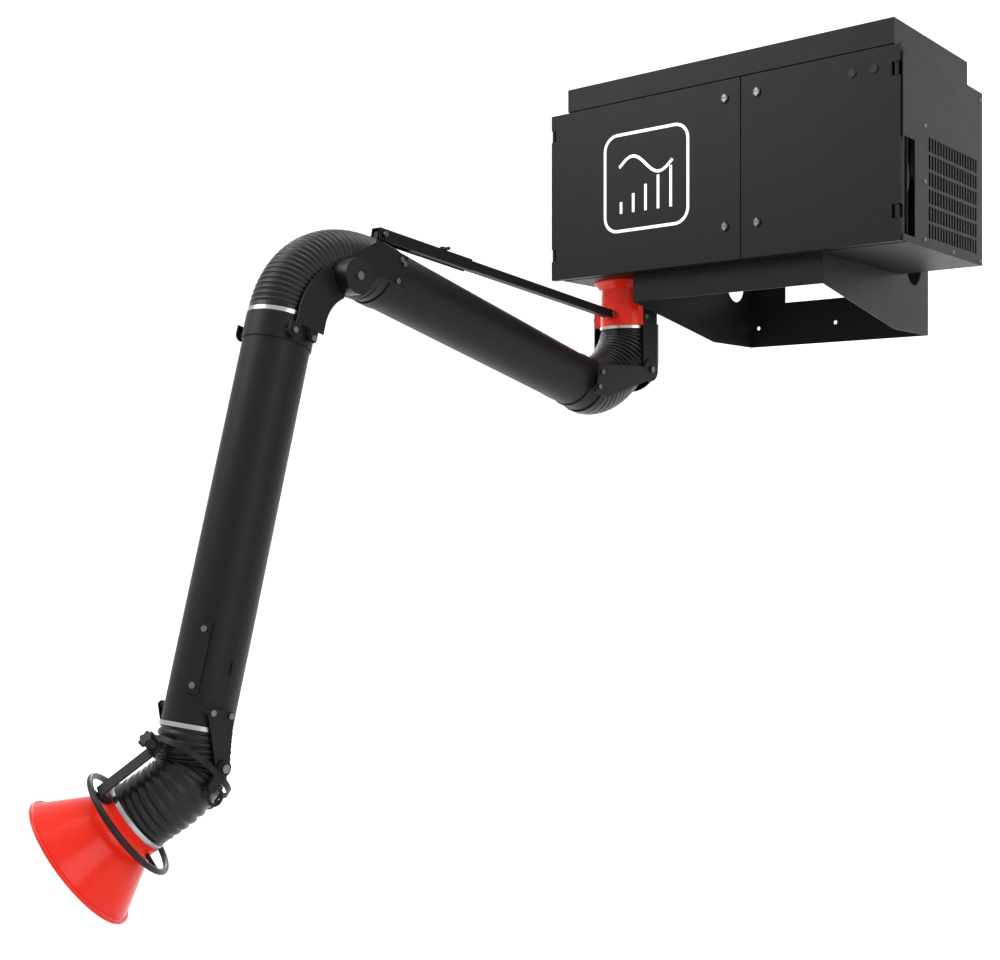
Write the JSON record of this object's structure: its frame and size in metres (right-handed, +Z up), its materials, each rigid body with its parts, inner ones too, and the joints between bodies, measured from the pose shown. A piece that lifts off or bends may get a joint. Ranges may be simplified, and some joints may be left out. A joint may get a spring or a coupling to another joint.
{
  "type": "welding fume extractor",
  "caption": "Wall-mounted welding fume extractor: filter and fan cabinet on a wall bracket, with a swivelling suction arm, a telescopic strut, ribbed hose joints and a round hood.",
  "frame": {"origin": "centre of the wall bolt pattern, on the back face of the bracket's wall plate", "axes": "+X to the right seen from the front, +Y into the wall, +Z up; the cabinet and the arm stand out along -Y"},
  "size_m": [1.2918, 2.6087, 2.1822],
  "materials": {
    "black_paint": "semi-gloss powder coat",
    "red_paint": "gloss paint",
    "zinc": "zinc plated",
    "grey_steel": "grey paint",
    "galvanised": "galvanised sheet",
    "black_plastic": "moulded",
    "hose_rubber": "ribbed",
    "seal_rubber": "foam",
    "filter_paper": "pleated",
    "aluminium": "spun"
  },
  "bodies": {
    "cabinet": {"wall_plate": "black_paint", "left_cheek": "black_paint", "right_cheek": "black_paint", "front_strip": "black_paint", "bracket_bolts": "zinc", "carcass": "black_paint", "left_side_panel": "black_paint", "right_side_panel": "black_paint", "top_cover": "black_paint", "panel_screws": "zinc", "door_seals": "seal_rubber", "hinge_pins": "zinc", "partition": "galvanised", "filter_rails": "galvanised", "filter_case": "galvanised", "filter_media": "filter_paper", "prefilter": "filter_paper", "fan_scroll": "galvanised", "fan_motor": "grey_steel", "motor_stand": "galvanised", "control_box": "galvanised", "inlet_collar": "red_paint", "swivel_sleeve": "zinc"},
    "left_door": {"left_door": "black_paint"},
    "right_door": {"right_door": "black_paint", "blanking_plugs": "black_plastic"},
    "latch_left_low": {"latch_left_low": "zinc"},
    "latch_left_high": {"latch_left_high": "zinc"},
    "latch_right_low": {"latch_right_low": "zinc"},
    "latch_right_high": {"latch_right_high": "zinc"},
    "fan": {"impeller": "aluminium"},
    "swivel": {"swivel_collar": "red_paint", "shoulder_straps": "black_paint", "swivel_bolts": "zinc", "shoulder_clamp": "zinc", "shoulder_guard": "black_paint", "shoulder_hose": "hose_rubber"},
    "upper_arm": {"upper_tube": "black_paint", "shoulder_bracket": "black_paint", "elbow_bracket": "black_paint", "elbow_pivots": "zinc", "elbow_hose": "hose_rubber"},
    "strut_outer": {"strut_channel": "black_paint"},
    "strut_inner": {"strut_inner": "black_paint"},
    "strut_lever": {"strut_lever": "black_plastic"},
    "lower_arm": {"lower_tube": "black_paint", "elbow_arms": "black_paint", "lower_arm_clamps": "zinc", "lower_arm_bolts": "zinc", "grip_strip": "black_plastic", "wrist_straps": "black_paint", "wrist_hose": "hose_rubber"},
    "damper": {"damper": "galvanised"},
    "gimbal": {"gimbal": "black_paint"},
    "wrist_knob": {"wrist_knob": "black_plastic"},
    "hood": {"hood_hose": "hose_rubber", "hood_straps": "black_paint", "hood_clamp": "zinc", "hood": "red_paint", "ring_handle": "black_plastic"}
  },
  "joints": [
    {"name": "left_door_hinge", "type": "hinge", "parent": "cabinet", "child": "left_door", "pos_m": [-0.586, -0.7637, 0.18], "axis": [0, 0, -1], "range_deg": [0, 110]},
    {"name": "right_door_hinge", "type": "hinge", "parent": "cabinet", "child": "right_door", "pos_m": [0.5457, -0.7637, 0.18], "axis": [0, 0, -1], "range_deg": [-110, 0]},
    {"name": "latch_left_low_turn", "type": "hinge", "parent": "left_door", "child": "latch_left_low", "pos_m": [0.0315, -0.77, 0.0185], "axis": [0, -1, 0], "range_deg": [0, 90]},
    {"name": "latch_left_high_turn", "type": "hinge", "parent": "left_door", "child": "latch_left_high", "pos_m": [0.0315, -0.77, 0.385], "axis": [0, -1, 0], "range_deg": [0, 90]},
    {"name": "latch_right_low_turn", "type": "hinge", "parent": "right_door", "child": "latch_right_low", "pos_m": [0.1345, -0.77, 0.0185], "axis": [0, 1, 0], "range_deg": [0, 90]},
    {"name": "latch_right_high_turn", "type": "hinge", "parent": "right_door", "child": "latch_right_high", "pos_m": [0.1345, -0.77, 0.385], "axis": [0, 1, 0], "range_deg": [0, 90]},
    {"name": "fan_shaft", "type": "hinge", "parent": "cabinet", "child": "fan", "pos_m": [0.15, -0.47, 0.172], "axis": [1, 0, 0], "continuous": true},
    {"name": "swivel", "type": "hinge", "parent": "cabinet", "child": "swivel", "pos_m": [-0.43, -0.582, -0.152], "axis": [0, 0, 1], "range_deg": [-100, 30]},
    {"name": "shoulder", "type": "hinge", "parent": "swivel", "child": "upper_arm", "pos_m": [-0.43, -0.597, -0.361], "axis": [1, 0, 0], "range_deg": [-20, 20], "deforming": ["shoulder_hose"]},
    {"name": "strut_root", "type": "hinge", "parent": "swivel", "child": "strut_inner", "pos_m": [-0.43, -0.69, -0.188], "axis": [1, 0, 0], "range_deg": [-22.5, 22.5]},
    {"name": "strut_end", "type": "hinge", "parent": "upper_arm", "child": "strut_outer", "pos_m": [-0.43, -1.69988, -0.08094], "axis": [1, 0, 0], "range_deg": [-2.6, 2.6]},
    {"name": "strut_lever_turn", "type": "hinge", "parent": "strut_outer", "child": "strut_lever", "pos_m": [-0.43, -1.4594, -0.08904], "axis": [0, 0.1054, 0.9944], "range_deg": [-60, 60]},
    {"name": "elbow", "type": "hinge", "parent": "upper_arm", "child": "lower_arm", "pos_m": [-0.43, -1.9016, -0.2206], "axis": [1, 0, 0], "range_deg": [-45, 40], "deforming": ["elbow_hose"]},
    {"name": "damper_turn", "type": "hinge", "parent": "lower_arm", "child": "damper", "pos_m": [-0.43, -2.23839, -1.11356], "axis": [1, 0, 0], "range_deg": [0, 90]},
    {"name": "wrist", "type": "hinge", "parent": "lower_arm", "child": "gimbal", "pos_m": [-0.43, -2.27634, -1.33633], "axis": [1, 0, 0], "range_deg": [-10, 65], "deforming": ["wrist_hose"]},
    {"name": "wrist_knob_turn", "type": "hinge", "parent": "gimbal", "child": "wrist_knob", "pos_m": [-0.43, -2.30413, -1.36511], "axis": [0, 0.7193, -0.6947], "continuous": true},
    {"name": "hood_turn", "type": "hinge", "parent": "gimbal", "child": "hood", "pos_m": [-0.43, -2.30413, -1.36511], "axis": [0, 0.7193, -0.6947], "range_deg": [-70, 15], "deforming": ["hood_hose"]}
  ],
  "couplings": [
    {"joint": "strut_root", "follows": "shoulder", "ratio": 1.109},
    {"joint": "strut_end", "follows": "shoulder", "ratio": 0.109}
  ]
}
